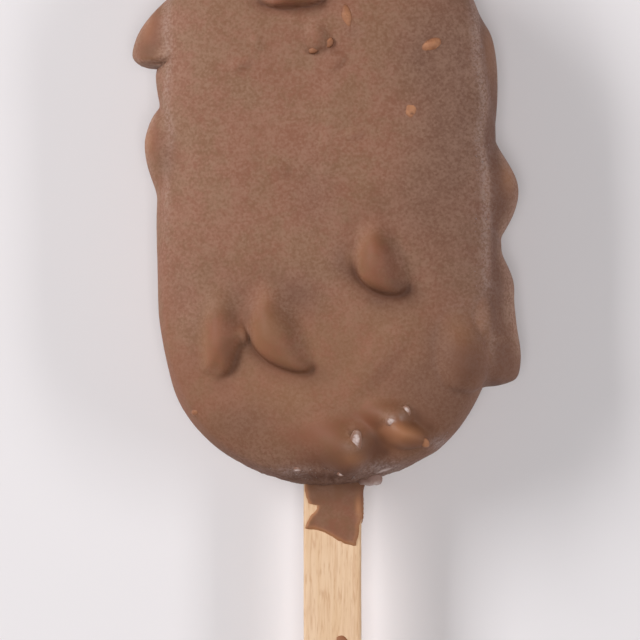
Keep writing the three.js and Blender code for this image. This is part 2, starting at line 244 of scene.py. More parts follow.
# side, place (x and y on a face, z and y on a flank), length, width, height, heading in degrees
# (0 is +X, or up on a flank), then where the summit is from tail to head and from side to side.
# toe and tail say how softly the two ends fall (less is steeper), flat how level the top is,
# corner how boxy the head's outline is, slant how far its edge slants, point how much it narrows,
# soft how far the side to the left of its heading melts into the face (below 0, to the right), and
# ring how much frost has gathered round it
def nut(side, across, along, length, width, height, turn, crest=0.6, lean=0.5, toe=1.0,
        corner=2.2, slant=0.0, point=0.0, flat=2.0, tail=2.3, soft=0.0, ring=0.0):
    at, up, head, cross = anchor(side, across, along, turn)
    return {
        "at": at, "up": up, "head": head, "cross": cross, "length": length, "width": width,
        "height": height, "crest": crest, "lean": lean, "toe": toe, "corner": corner,
        "slant": slant, "point": point, "flat": flat, "tail": tail, "soft": soft, "ring": ring,
        "turned": coating["onFace"] if side in ("front", "back") else coating["onFlank"],
    }


shownNuts = [
    # the nut at the middle right
    nut("front", 9.35, -10.4, 12.6, 9.6, 3.1, -92, 0.58, 0.44, toe=0.66, corner=2.3, slant=0.36,
        flat=2.6, soft=1),
    # the pair at the lower left
    nut("front", -17.6, -22.6, 14.8, 9.2, 2.7, -79, 0.62, 0.54, toe=0.7, slant=-0.75, point=0.9, soft=-2),
    nut("front", -15.0, -23.5, 5.4, 4.2, 1.2, -14, toe=0.7, point=0.6),
    nut("front", -7.3, -21.6, 14.2, 11.2, 2.9, -86, 0.62, 0.42, toe=0.66, corner=2.3, slant=0.54,
        flat=2.6, soft=1),
    # the smooth ones by the stick
    nut("front", 1.6, -41.0, 13.4, 10.6, 2.8, -30, 0.62, toe=1.4, corner=2.4, flat=2.6),
    nut("front", 9.8, -36.6, 9.6, 6.4, 1.9, -12, 0.58, toe=1.2, flat=2.4),
    nut("front", 12.9, -39.9, 9.4, 5.4, 3.0, -17, 0.42, 0.60, toe=0.9, point=1.4, tail=1.2, soft=-0.6),
    # the broad one at the right shoulder, and the streak beside it
    nut("front", 22.6, -26.0, 14.0, 10.0, 2.1, -80, 0.60, 0.46, toe=0.9, corner=2.4, flat=2.4, ring=0.15),
    nut("front", 8.0, -27.8, 18.0, 8.0, 0.55, 50, 0.50, 0.40, toe=1.8),
    nut("front", 26.6, -20.4, 8.8, 4.6, 1.2, -90, 0.50, toe=0.8, ring=0.2),
    # above the middle, with low lumps
    nut("front", -4.4, 35.6, 11.6, 11.0, 3.2, -86, 0.76, toe=0.6, corner=2.6),
    nut("front", -0.4, 25.4, 5.8, 5.0, 1.3, -84, 0.62, 0.46, toe=0.85, corner=2.4),
    nut("front", 1.4, 22.0, 5.4, 4.2, 0.5, -50, 0.70, toe=0.8, corner=2.4),
    nut("front", 2.6, 9.0, 30.0, 7.0, 0.2, -92, 0.50, 0.22, toe=1.6),
    nut("front", -13.4, 20.4, 4.8, 2.6, 0.5, 24, 0.50),
    nut("front", -10.6, 24.2, 3.6, 3.0, 0.35, -70, 0.50),
    nut("front", -7.8, 3.8, 5.4, 3.6, 0.4, -30, 0.50),
    nut("front", 4.3, 8.8, 4.6, 2.6, 0.4, 10, 0.50),
    nut("front", 15.2, 36.5, 9.0, 6.5, 1.8, -120),
    # left flank
    nut("left", 0.6, 27.5, 12.6, 14.0, 4.9, -90, 0.78, toe=0.56, corner=2.6, tail=1.5),
    nut("left", 1.0, 18.4, 7.6, 12.0, 0.7, -90, 0.20, toe=1.3),
    nut("left", 1.0, 6.2, 16.4, 14.0, 2.8, 90, 0.58, tail=1.6),
    nut("left", 0.0, -6.0, 38.0, 18.0, 0.8, -90, 0.50, toe=1.5),
    nut("left", -3.5, -14.0, 8.0, 6.0, 0.5, -70),
    nut("left", -1.0, -33.0, 16.0, 14.0, 0.5, -90, 0.50, toe=1.5),
    nut("left", -1.0, -44.2, 4.2, 12.0, 0.6, -90, 0.50, toe=1.2),
    # right flank
    nut("right", 1.0, 20.8, 19.0, 10.0, 1.0, -90, 0.30, toe=1.1, ring=0.3),
    nut("right", 0.0, -12.0, 50.0, 18.0, 0.9, -90, 0.50, toe=1.6),
    nut("right", 0.6, 0.4, 17.0, 13.0, 3.9, -90, 0.46, toe=1.2, tail=1.6, ring=0.3),
    nut("right", 0.5, -15.5, 15.0, 12.0, 3.0, -90, 0.48, tail=1.6),
    nut("right", 0.0, -21.6, 15.0, 13.0, 3.6, -90, 0.50, tail=1.2),
    nut("right", 0.0, -25.0, 13.8, 14.0, 4.9, -90, 0.66, toe=1.15, corner=2.5, tail=1.3),
    nut("right", -1.0, -43.1, 4.6, 12.0, 0.7, -90, 0.50, toe=1.2),
]
# the bar rests on these
restNuts = [
    nut("back", 0, 0, 12.0, 10.0, 3.0, -80, 0.55),
    nut("back", -15.0, 19.0, 10.8, 8.8, 3.1, -60),
    nut("back", 14.5, 22.0, 10.8, 9.0, 3.1, -110),
    nut("back", -14.0, -24.0, 11.2, 8.8, 3.2, -75),
    nut("back", 15.0, -21.5, 10.8, 8.8, 3.1, -95),
]
backNuts = {
    "count": 13,
    "spanX": 38.0,
    "spanY": 74.0,
    "length": 9.0,
    "width": 6.4,
    "height": 1.9,
    "size": (0.7, 0.6),  # the least share of the full size, and by how much it varies
    "rise": (0.6, 0.4),  # and the same for the height
    "strides": (1, 3, 5, 7),  # multiples of the golden ratio for place, size, rise and heading
}


# the other nuts of the back, spread over its face by the golden ratio
def spreadBackNuts():
    made = []
    for i in range(1, backNuts["count"] + 1):
        place, size, rise, turn = [i * golden * stride % 1 for stride in backNuts["strides"]]
        size = backNuts["size"][0] + backNuts["size"][1] * size
        made.append(nut(
            "back",
            backNuts["spanX"] * (place - 0.5),
            backNuts["spanY"] * ((i - 0.5) / backNuts["count"] - 0.5),
            backNuts["length"] * size,
            backNuts["width"] * size,
            backNuts["height"] * size * (backNuts["rise"][0] + backNuts["rise"][1] * rise),
            -180 * turn,
        ))
    return made


nuts = shownNuts + restNuts + spreadBackNuts()


# how far along a half-axis a distance lies, where the two halves have different lengths
def unevenShare(distance, size, summit):
    ahead = smooth(-coating["summit"] * size, coating["summit"] * size, distance)
    return distance / (size * (summit + (1 - 2 * summit) * ahead))


# a nut's height over each point, (1 - r to one power) to another where r is 1 at the outline, and
# marks from 0 to 1: the fold and the hollow round its foot, where shade is painted, its ring, its
# side turned from the light, where shade is painted, and its steep side towards the light, where
# light is painted
def nutRise(n, points, normals):
    offset = points - n["at"]
    v = offset @ n["cross"] - (n["lean"] - 0.5) * n["width"]
    u = offset @ n["head"] - (n["crest"] - 0.5) * n["length"] - n["slant"] * v
    a = unevenShare(u, n["length"], n["crest"])
    headness = smooth(*coating["head"], a)
    point = coating["tailPoint"] * (1 - headness) + n["point"] * headness
    b = unevenShare(v, n["width"], n["lean"]) * (1 + point * a * a)
    corner = 2 + (n["corner"] - 2) * headness
    r = np.maximum(np.abs(a) ** corner + np.abs(b) ** corner, tiny) ** (1 / corner)
    softness = min(abs(n["soft"]), 1)
    soft = softness * smooth(*coating["softSide"], b * n["soft"])
    soft = soft * (1 - smooth(*coating["softEnd"], a - coating["softRight"] * (n["soft"] < 0)))
    level = 2 + (n["flat"] - 2) * smooth(*coating["level"], a)
    level = level + (coating["melted"] - level) * soft
    power = n["tail"] + (n["toe"] - n["tail"]) * headness
    power = power + (np.maximum(coating["melted"], power) - power) * soft
    near = smooth(*n["turned"], normals @ n["up"])
    rise = n["height"] * np.maximum(1 - r ** level, 0) ** power * near
    body = softness * smooth(*coating["body"], rise / n["height"])
    steep = np.clip((1 - n["toe"]) * n["height"], 0, 1) * near * (1 - soft)
    gap = (r - 1) * min(n["length"], n["width"]) / 2
    fold, hollow, ring = [bell(gap, mark["out"], mark["width"]) for mark in footMarks.values()]
    tail = footMarks["hollow"]["tail"]
    return rise, {
        "fold": steep * smooth(*footMarks["fold"]["head"], a) * fold,
        "hollow": steep * (tail + (1 - tail) * headness) * hollow,
        "ring": n["ring"] * near * ring,
        "shadedSide": body * smooth(*coating["shadedSideSpan"], b),
        "steep": body * smooth(*coating["litSideSpan"], -b),
    }


# long shallow waves of the coating, each a sine times a cosine, and the collar where it meets the
# stick
def waves(points):
    x, y, z = points.T
    total = 0
    for height, (sineX, sineY, sineZ, sinePhase), (cosX, cosY, cosZ, cosPhase) in slowWaves:
        sine = np.sin(sineX * x + sineY * y + sineZ * z + sinePhase)
        total = total + height * (sine * np.cos(cosX * x + cosY * y + cosZ * z + cosPhase))
    collar = bell(x, stick["offset"], coating["collarWidth"]) * smooth(*coating["collarOver"], y)
    return total + coating["collar"] * collar


# moves points of the plain body out to the coating's surface, and gives the nuts' height and the
# marks there
def coat(points, detail=None):
    normals = outward(points)
    drift = np.zeros_like(points)
    total = np.zeros(len(points))
    marks = {key: np.zeros(len(points)) for key in ("fold", "hollow", "ring", "shadedSide", "steep")}
    for n in nuts:
        rise, ofNut = nutRise(n, points, normals)
        total += rise ** coating["join"]
        drift += coating["overhang"] * rise[:, None] * n["head"]
        for key, value in ofNut.items():
            marks[key] = np.maximum(marks[key], value)
    marks["rise"] = rise = total ** (1 / coating["join"])
    lift = rise + waves(points)
    lift = lift + coating["rim"] * bell(normals[:, 2], coating["rimTilt"], coating["rimWidth"])
    for key in ("fold", "hollow"):
        marks[key] *= 1 - smooth(*coating["covered"], rise)
        lift = lift - footMarks[key]["depth"] * marks[key]
    if detail is not None:
        lift = lift + detail(points, rise)
    out = points + normals * lift[:, None] + drift
    out[:, 0] -= skewAt(points[:, 1])
    out += shift
    out[:, 2] = np.maximum(out[:, 2], 0)
    return out, marks


# a closed surface from stacks of rings of points, each stack with a tip at either end
def closedMesh(name, stacks, attributes=None):
    points, faces, start = [], [], 0
    for rings, tips in stacks:
        count, around = rings.shape[:2]
        i = start + np.arange(count - 1)[:, None] * around
        j = np.arange(around)
        k = (j + 1) % around
        low = start + count * around
        last = low - around
        quads = np.stack([i + j, i + around + j, i + around + k, i + k], axis=-1)
        lowFan = np.stack([np.full(around, low), start + j, start + k], axis=1)
        highFan = np.stack([np.full(around, low + 1), last + k, last + j], axis=1)
        faces += quads.reshape(-1, 4).tolist() + lowFan.tolist() + highFan.tolist()
        points += [rings.reshape(-1, 3), tips]
        start = low + 2
    mesh = bpy.data.meshes.new(name)
    mesh.from_pydata((np.concatenate(points) * mm).tolist(), [], faces)
    mesh.polygons.foreach_set("use_smooth", np.ones(len(mesh.polygons), bool))
    for key, values in (attributes or {}).items():
        mesh.attributes.new(key, "FLOAT", "POINT").data.foreach_set("value", values.astype(np.float32))
    mesh.update()
    piece = bpy.data.objects.new(name, mesh)
    bpy.context.scene.collection.objects.link(piece)
    return piece


# sets inputs of a shader node, or links them where the value is another node's output
def setInputs(tree, made, inputs):
    for key, value in inputs.items():
        if isinstance(value, bpy.types.NodeSocket):
            tree.links.new(value, made.inputs[key])
        else:
            made.inputs[key].default_value = value


def node(tree, kind, inputs=None, **settings):
    made = tree.nodes.new("ShaderNode" + kind)
    for key, value in settings.items():
        setattr(made, key, value)
    setInputs(tree, made, inputs or {})
    return made


def newMaterial(name):
    material = bpy.data.materials.new(name)
    material.use_nodes = True
    return material, material.node_tree, material.node_tree.nodes["Principled BSDF"]


def attribute(tree, name):
    return node(tree, "Attribute", attribute_name=name).outputs["Fac"]


def mixColor(tree, share, a, b):
    return node(tree, "Mix", {0: share, 6: a, 7: b}, data_type="RGBA").outputs[2]


def calc(tree, operation, a, b, clamp=False):
    return node(tree, "Math", {0: a, 1: b}, operation=operation, use_clamp=clamp).outputs[0]


# values times their shares, added up
def weighted(tree, first, *others):
    total = calc(tree, "MULTIPLY", *first)
    for part in others:
        total = calc(tree, "ADD", total, calc(tree, "MULTIPLY", *part))
    return total


def remap(tree, value, fromLow, fromHigh, toLow=0.0, toHigh=1.0):
    return node(tree, "MapRange", {
        "Value": value, "From Min": fromLow, "From Max": fromHigh, "To Min": toLow, "To Max": toHigh,
    }, interpolation_type="SMOOTHSTEP").outputs[0]


def noiseAt(tree, where, scale, detail=2.0, roughness=0.5):
    return node(tree, "TexNoise", {
        "Vector": where, "Scale": scale, "Detail": detail, "Roughness": roughness,
    }).outputs["Fac"]


def bumpOf(tree, height, strength, distance):
    return node(tree, "Bump", {"Height": height, "Strength": strength, "Distance": distance}).outputs[0]


# one random number for each small cell
def grainsAt(tree, where, scale):
    cells = node(tree, "TexVoronoi", {"Vector": where, "Scale": scale}, feature="F1")
    return node(tree, "SeparateColor", {0: cells.outputs["Color"]}).outputs[0]


bloom = {
    "fine": 4200.0,  # two sizes of grains, in cells per metre
    "coarse": 2500.0,
    "soft": (2100.0, 1.0, 0.5),  # softer noise: scale, detail and roughness
    "clumps": (300.0, 2.0, 0.5),
    "shares": (0.08, 0.16, 0.46, 0.30),  # of these four in the pattern
    "cover": (0.32, 0.68, 0.42, 1.58),  # this range of the pattern is spread to the second one
    "rime": (0.25, 0.75, 0.45, 1.55),
}


# frozen bloom: grains of frost, thicker where the amount is higher. Cover is how much of the
# surface is frost, Rime is how much is bright loose grains, and Height is the grains' relief.
def makeFrostGroup():
    group = bpy.data.node_groups.new("frozenBloom", "ShaderNodeTree")
    group.interface.new_socket("Where", in_out="INPUT", socket_type="NodeSocketVector")
    for name in ("Amount", "Loose"):
        group.interface.new_socket(name, in_out="INPUT", socket_type="NodeSocketFloat")
    for name in ("Cover", "Rime", "Height"):
        group.interface.new_socket(name, in_out="OUTPUT", socket_type="NodeSocketFloat")
    ins = group.nodes.new("NodeGroupInput").outputs
    outs = group.nodes.new("NodeGroupOutput").inputs
    where, amount, loose = ins["Where"], ins["Amount"], ins["Loose"]
    fine = grainsAt(group, where, bloom["fine"])
    coarse = grainsAt(group, where, bloom["coarse"])
    soft = noiseAt(group, where, *bloom["soft"])
    clumps = noiseAt(group, where, *bloom["clumps"])
    mixed = weighted(group, *zip((fine, coarse, soft, clumps), bloom["shares"]))
    spread = remap(group, mixed, *bloom["cover"])
    group.links.new(calc(group, "MULTIPLY", amount, spread, clamp=True), outs["Cover"])
    grains = remap(group, weighted(group, (fine, 0.5), (coarse, 0.5)), *bloom["rime"])
    group.links.new(calc(group, "MULTIPLY", grains, loose, clamp=True), outs["Rime"])
    height = calc(group, "MULTIPLY", mixed, calc(group, "ADD", amount, loose))
    group.links.new(height, outs["Height"])
    return group


frozenBloom = makeFrostGroup()

chocolateLook = {
    "red": (0.222, 0.078, 0.040, 1),
    "olive": (0.197, 0.084, 0.038, 1),
    "creaseShadow": (0.085, 0.028, 0.013, 1),  # painted shade in the creases at the nuts' feet, and painted shadow
    "frost": (0.52, 0.33, 0.24, 1),
    "rime": (0.47, 0.375, 0.36, 1),
    "shadeUmber": (0.135, 0.052, 0.028, 1),  # painted shade, and the darker tone of some patches
    "caramel": (0.42, 0.182, 0.082, 1),  # where it is thin and light comes through, and painted light on nuts' sides that face the light
    # mottling between red and olive: noises with their shares
    "mottling": [((60.0, 1.0, 0.5), 0.15), ((190.0, 1.0, 0.5), 0.5), ((900.0, 2.0, 0.6), 0.35)],
    "mottled": (0.38, 0.62),
    "rough": (0.64, 0.70),  # bare, and under this much frost
    "roughFrost": 0.15,
    "wetRough": 0.32,
    "specular": 0.35,
    "relief": (1.0, 0.00006),  # strength, and height in metres
}


def makeChocolate():
    look = chocolateLook
    material, tree, shader = newMaterial("milkChocolate")
    where = node(tree, "TexCoord").outputs["Object"]
    tint = weighted(tree, *[(noiseAt(tree, where, *form), share) for form, share in look["mottling"]])
    color = mixColor(tree, remap(tree, tint, *look["mottled"]), look["olive"], look["red"])
    # painted shade, then painted crease shade and shadow, then thin chocolate with painted light on nuts'
    # lit sides
    for mask, tone in (("shade", "shadeUmber"), ("fold", "creaseShadow"), ("thin", "caramel")):
        color = mixColor(tree, attribute(tree, mask), color, look[tone])
    frost = attribute(tree, "frost")
    grains = node(tree, "Group", {"Where": where, "Amount": frost, "Loose": attribute(tree, "rime")},
                  node_tree=frozenBloom).outputs
    color = mixColor(tree, grains["Cover"], color, look["frost"])
    color = mixColor(tree, grains["Rime"], color, look["rime"])
    dry = remap(tree, frost, 0.0, look["roughFrost"], *look["rough"])
    rough = node(tree, "Mix", {0: attribute(tree, "wet"), 2: dry, 3: look["wetRough"]}, data_type="FLOAT")
    setInputs(tree, shader, {
        "Base Color": color,
        "Roughness": rough.outputs[0],
        "Specular IOR Level": look["specular"],
        "Normal": bumpOf(tree, grains["Height"], *look["relief"]),
    })
    return material


milkChocolate = makeChocolate()


# soft elliptical patch: 1 in the middle, fading as a bell curve
def patch(x, y, middleX, middleY, radiusX, radiusY):
    return np.exp(-((x - middleX) / radiusX) ** 2 - ((y - middleY) / radiusY) ** 2)


crust = {
    "end": (-43.4, -46.6),  # the crumbly edge by the stick
    "depth": 0.22,
    "grain": 0.9,
    "finer": 0.6,  # share of grains half as large
    "dimples": 0.035,  # depth of the dimples
    "dimple": 4.2,  # their size, and that of the smaller ones with their share
    "small": 1.9,
    "smaller": 0.5,
    "smoothed": (0.3, 1.5),  # a nut this high has none
}
roughEdge = makeNoise(3)
lumpy = makeNoise(5)


# fine relief: soft dimples all over, and a crumbly edge round the stick's end
def coatingDetail(points, rise):
    atEnd = smooth(*crust["end"], points[:, 1])
    crumbs = roughEdge(points, crust["grain"])
    crumbs = crumbs + crust["finer"] * roughEdge(points + 7.3, crust["grain"] / 2)
    dimples = lumpy(points, crust["dimple"]) + crust["smaller"] * lumpy(points + 3.1, crust["small"])
    fade = 1 - smooth(*crust["smoothed"], rise)
    return crust["depth"] * atEnd * crumbs + crust["dimples"] * dimples * fade


# places on the shown face, in the lists that follow in this order: middle, two radii and how much.
# The frost has thawed; the surface is wet; the chocolate is darker, partly its own tone and partly
# painted shade and painted shadows round and under nuts and bits; it is darkest, a painted shadow;
# frost is thicker, with painted light on some shaded nut slopes and a painted glow round the
# highlight on each ice drop; grains lie loose; and light or almond shows through, with painted light
# on the sides and rims of nuts that face the light.
thawed = [(2.0, -41.4, 9.0, 4.0, 1.0), (11.0, -37.8, 6.0, 3.4, 1.0), (-4.6, -17.5, 3.6, 3.4, 0.4)]
wet = [(5.0, -40.4, 2.6, 2.6, 1.0), (11.6, -37.4, 2.6, 1.6, 1.0)]
# darker tone in places, and painted shade and painted shadows round and under nuts and bits
darker = [
    (20.6, 4.0, 6.0, 26.0, 0.5),
    (15.0, 22.5, 5.0, 6.0, 0.3),
    (14.0, -3.0, 5.0, 8.0, 0.35),
    (-1.3, -1.0, 4.0, 6.0, 0.4),
    (-4.4, -17.5, 4.4, 4.0, 0.9),
    (11.9, -31.0, 4.5, 3.5, 0.3),
    (19.0, -34.5, 8.0, 9.0, 0.75),
    (-1.0, -44.0, 17.0, 4.2, 0.5),
    (-13.2, -37.4, 6.0, 4.0, 0.65),
    (-14.4, -18.4, 2.2, 3.4, 0.5),
    (-14.6, -27.6, 1.6, 2.0, 0.5),
    (2.9, -12.0, 2.4, 3.0, 0.6),
    (8.2, -41.4, 2.0, 2.4, 0.6),
    (7.4, -45.2, 2.6, 0.9, 0.3),
    # painted shadow cast by the nut at the middle right
    (12.7, -16.1, 1.6, 1.4, 0.6),
    (20.0, 20.0, 8.0, 22.0, 0.45),
    (-27.2, 25.6, 1.6, 3.0, 0.3),
    (-29.4, 23.6, 1.6, 1.8, 0.5),
    (-26.4, 6.7, 1.6, 3.0, 0.4),
    (26.7, -17.6, 1.5, 3.0, 0.6),
    (27.6, -30.4, 1.8, 2.0, 0.6),
    (-22.8, -17.5, 3.4, 6.0, 0.3),
    # painted shadows under two almond bits
    (4.9, 25.6, 1.7, 1.5, 0.35),
    (18.4, 21.3, 3.0, 2.2, 0.4),
    (0.4, 22.6, 2.0, 0.8, 0.35),
    (-17.0, -40.0, 7.0, 4.0, 0.2),
    (-22.6, -29.6, 2.6, 5.0, 0.2),
    (2.4, -37.6, 4.0, 2.4, 0.25),
    (18.6, -30.4, 3.4, 3.0, 0.25),
    (22.8, -28.4, 4.4, 2.8, 0.45),
    (18.0, -24.4, 2.2, 2.8, 0.45),
    (-26.1, 4.0, 1.4, 1.8, 0.5),
    (9.0, -17.8, 2.2, 1.6, 0.55),
]
# painted shadow at the end by the stick and under the nuts beside it
unlit = [(-1.2, -46.6, 5.6, 0.8, 0.8), (17.0, -38.8, 0.8, 0.8, 0.5), (9.9, -42.6, 0.7, 0.7, 0.5)]
# thicker frost, painted light on some shaded nut slopes, and painted glows round the ice drops' highlights
dustAndGlow = [
    (-4.0, -34.0, 5.0, 3.4, 0.03),
    (-3.0, -42.2, 3.0, 1.6, 0.08),
    (12.0, -24.0, 3.0, 6.0, 0.03),
    (27.2, -25.5, 0.5, 3.6, 0.15),
    (29.4, -18.6, 0.7, 4.0, 0.15),
    (28.4, -24.2, 1.2, 0.6, 0.18),
    (-20.0, 0.0, 8.0, 26.0, 0.03),
    (-27.2, 21.6, 0.8, 1.6, 0.3),
    (-0.9, 26.2, 1.9, 1.7, 0.04),
    (-25.9, 24.0, 1.7, 9.0, 0.09),
    (-6.3, -20.8, 1.8, 3.4, 0.12),
    (-4.6, -25.6, 1.5, 2.2, 0.09),
    (-22.2, -22.5, 1.8, 4.0, 0.08),
    (-15.9, -22.5, 1.0, 1.4, 0.08),
    (-12.7, -24.4, 1.2, 1.4, 0.08),
    (11.0, -11.9, 1.6, 2.8, 0.10),
    # a faint painted glow round the painted highlight on each ice drop
    (4.75, -40.3, 1.5, 2.4, 0.2),
    (10.4, -37.3, 1.4, 1.4, 0.2),
    (13.1, -35.9, 1.2, 1.2, 0.15),
]
frosted = [(9.6, -45.4, 3.6, 1.2, 0.25), (-5.8, -45.8, 3.4, 0.8, 0.14), (18.8, -41.4, 1.5, 1.2, 0.36)]
# thin chocolate and almond showing through, and painted light on the sides and rims of nuts that face the
# light
thinAndLit = [
    (4.9, -43.9, 1.6, 1.1, 0.4),
    (11.8, -41.3, 1.8, 1.4, 0.25),
    (-6.0, -33.6, 9.0, 3.6, 0.08),
    (23.2, -22.8, 2.2, 2.2, 0.14),
    (-9.6, -17.4, 1.6, 1.8, 0.14),
    (6.9, -7.8, 1.2, 1.8, 0.10),
    (5.7, -9.8, 0.7, 2.0, 0.14),
    (4.2, -11.3, 0.9, 1.6, 0.25),
    (-13.2, -23.0, 0.7, 1.4, 0.2),
    (-29.6, 28.0, 1.4, 4.0, 0.3),
    (-29.8, 8.8, 1.2, 2.4, 0.4),
    (27.0, 24.0, 1.2, 6.0, 0.3),
    (11.6, -38.8, 2.0, 1.1, 0.40),
    (14.2, -39.8, 2.0, 1.1, 0.55),
    (29.9, 2.4, 1.2, 3.0, 0.5),
]

# zones of the coating, from where each starts to where it is full, in y where no note says otherwise
zones = {
    "shown": (-4, 4),  # z
    "nutTops": (0.5, 2.0),  # height of a nut
    "end": (-43.0, -46.4),  # the end at the stick
    "endLeft": (-3, -9),  # x
    "low": (-12, -26),  # the lower half of the face
    "lowEnd": (-44, -40),
    "left": (-20, -27),  # x of the frost along the shoulders
    "leftEnd": (-16, 6),
    "right": (12, 24),  # x
    "top": (14, 22),
    "bandEnd": (-14.8, -17.0),
    "flank": (0.3, 1.1),  # past the shoulder's band
    "edgeUp": (0.8, 0.3),  # how far the flank's painted rim light faces up
    "edgeDown": (-0.3, 0.0),
    "edgeSide": (27.6, 28.8),  # x, on both sides
    "edgeEnd": (-23.0, -27.0),
    "dimmer": (4, 22),  # x; painted shade that grows to the right
    "rimeRight": (18, 27),  # x
    "thawing": (0.15, 0.7),  # how much has thawed
    "bare": (0.3, 1),
}
# the pale band along the shoulder, and how far in it runs past a nut and at the top
shoulder = {"x": 26.2, "width": 0.8, "nut": (8.5, 4.0), "nutIn": 1.0, "topIn": 0.9}
leftGap = (4.5, 3.4)  # middle y and width
# where the painted rim light is brighter: middle y and width
rimLightBoost = (-17.5, 4.0)
collarShade = 6.5  # width of the painted shade by the stick
mottles = {"frost": 9.0, "rime": 2.6}  # sizes
# how much one zone takes from another
fades = {"endLeft": 0.35, "leftGap": 0.8, "bandEnd": 0.9, "edgeEnd": 0.7, "flankEdge": 0.6}
# and how much of each zone or mark goes into each look
# painted shade: in the hollows round nuts, at the end by the stick, on nuts' sides turned from the light,
# growing to the right, on the flanks and by the stick
shadeOf = {"hollow": 0.45, "end": 0.65, "shadedSide": 0.15, "dimmer": 0.2, "flank": 0.7, "collar": 0.35}
# edge and the rim light boost are painted rim light on the flanks' outer edges, laid on as frost
frostOf = {"even": 0.17, "uneven": 0.02, "left": 0.9, "band": 0.06, "edge": 0.26, "rimLightBoost": 0.6}
frostLost = {"hollow": 0.5, "nutTops": 0.88, "low": 0.4, "flank": 0.7}
rimeOf = {"band": 0.14, "right": 0.05, "ring": 0.16, "end": 0.04, "endUneven": 0.06}
# steep: painted light on nuts' steep sides, which face the light
thinOf = {"steep": 0.2, "low": 0.09}
# how much shade is painted in the creases at nuts' feet
creaseShadeOf = 0.6


def zone(name, value):
    return smooth(*zones[name], value)


def patches(points, places):
    x, y = points[:, 0], points[:, 1]
    return np.clip(sum(patch(x, y, *place[:4]) * place[4] for place in places), 0, 1)


# the masks at each point: x, y and z are its place on the plain body, seen its place on the coating
# and up how far the coating faces up there
def coatingMasks(points, seen, up, marks):
    x, y, z = points.T
    across = seen[:, 0] + skewAt(y)
    shown = zone("shown", z)
    thaw, gloss, dark, darkest, dust, loose, thin = [
        shown * patches(seen, places)
        for places in (thawed, wet, darker, unlit, dustAndGlow, frosted, thinAndLit)
    ]
    end = zone("end", y) * (1 - fades["endLeft"] * zone("endLeft", x))
    low = shown * zone("low", y) * zone("lowEnd", y)
    left = zone("left", x) * zone("leftEnd", y)
    left = left * (1 - fades["leftGap"] * bell(y, *leftGap))
    side = zone("right", x) + frostOf["left"] * left
    line = shoulder["x"] - shoulder["nutIn"] * bell(y, *shoulder["nut"])
    line = line - shoulder["topIn"] * zone("top", y)
    band = bell(np.abs(across), line, shoulder["width"]) * shown
    band = band * (1 - fades["bandEnd"] * zone("bandEnd", y))
    flank = zone("flank", across - line)
    # painted rim light where the flank faces sideways at its outer edge, laid on as frost and brighter
    # about y = -17.5
    edge = zone("edgeUp", up) * zone("edgeDown", up) * zone("edgeSide", np.abs(across))
    paler = frostOf["rimLightBoost"] * bell(y, *rimLightBoost)
    edge *= 1 + paler - fades["edgeEnd"] * zone("edgeEnd", y)
    # painted shade and shadow: the darker places, the hollows round nuts, the end by the stick, nuts' sides
    # turned from the light, more to the right, the flanks away from their painted rim light, and by the
    # stick
    shade = dark + shadeOf["hollow"] * marks["hollow"] + shadeOf["end"] * end
    shade = shade + shadeOf["shadedSide"] * marks["shadedSide"] + shadeOf["dimmer"] * zone("dimmer", x)
    shade += shadeOf["flank"] * flank * (1 - fades["flankEdge"] * edge)
    shade += shadeOf["collar"] * end * bell(x, stick["offset"], collarShade)
    dry = (1 - zone("thawing", thaw)) * (1 - marks["fold"])
    dry = dry * (1 - frostLost["hollow"] * marks["hollow"]) * (1 - darkest)
    cover = 1 - frostLost["nutTops"] * zone("nutTops", marks["rise"])
    cover = cover * (1 - frostLost["low"] * low) * (1 - frostLost["flank"] * flank)
    cover *= frostOf["even"] + frostOf["uneven"] * lumpy(points + 11.7, mottles["frost"])
    cover += frostOf["band"] * band * side + frostOf["edge"] * edge
    rime = dry * (rimeOf["band"] * band * side + rimeOf["right"] * zone("rimeRight", x))
    rime = rime + rimeOf["ring"] * marks["ring"]
    atEnd = rimeOf["end"] + rimeOf["endUneven"] * lumpy(points + 4.4, mottles["rime"])
    rime += atEnd * end * (1 - zone("bare", thaw)) + loose
    looks = {
        "frost": dry * cover + dust,
        "rime": rime,
        # painted shade in the creases at nuts' feet, and painted shadow
        "fold": creaseShadeOf * marks["fold"] + darkest,
        "wet": gloss,
        "shade": shade,
        # thin chocolate, and painted light on nuts' steep sides
        "thin": thin + thinOf["steep"] * shown * marks["steep"] + thinOf["low"] * low,
    }
    return {key: np.clip(values, 0, 1) for key, values in looks.items()}


# how far the surface through rings of points faces up
def facesUp(rings):
    along = np.gradient(rings, axis=0)
    around = np.roll(rings, -1, axis=1) - np.roll(rings, 1, axis=1)
    normals = np.cross(along, around)
    return normals[..., 2] / np.maximum(np.linalg.norm(normals, axis=-1), tiny)


def makeCoating():
    ys = stationYs(bar["rings"])[1:-1]
    sx, sz = loopShares(bar["sectionPower"], bar["halfWidth"], bar["halfThickness"], bar["around"])
    x = halfWidthAt(ys)[:, None] * sx
    z = halfThicknessAt(ys)[:, None] * sz
    y = np.broadcast_to(ys[:, None], x.shape)
    tips = np.array([[0, -bar["halfLength"], 0], [0, bar["halfLength"], 0]])
    plain = np.concatenate([np.stack([x, y, z], axis=-1).reshape(-1, 3), tips])
    points, marks = coat(plain, coatingDetail)
    rings = points[:-2].reshape(len(ys), bar["around"], 3)
    up = np.append(facesUp(rings).ravel(), [0, 0])
    looks = coatingMasks(plain, points - shift, up, marks)
    return closedMesh("coating", [(rings, points[-2:])], looks)


coatingPiece = makeCoating()
coatingPiece.data.materials.append(milkChocolate)
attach(coatingPiece, "root")
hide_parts("coated_bar")
print("coating", len(coatingPiece.data.polygons), "faces")

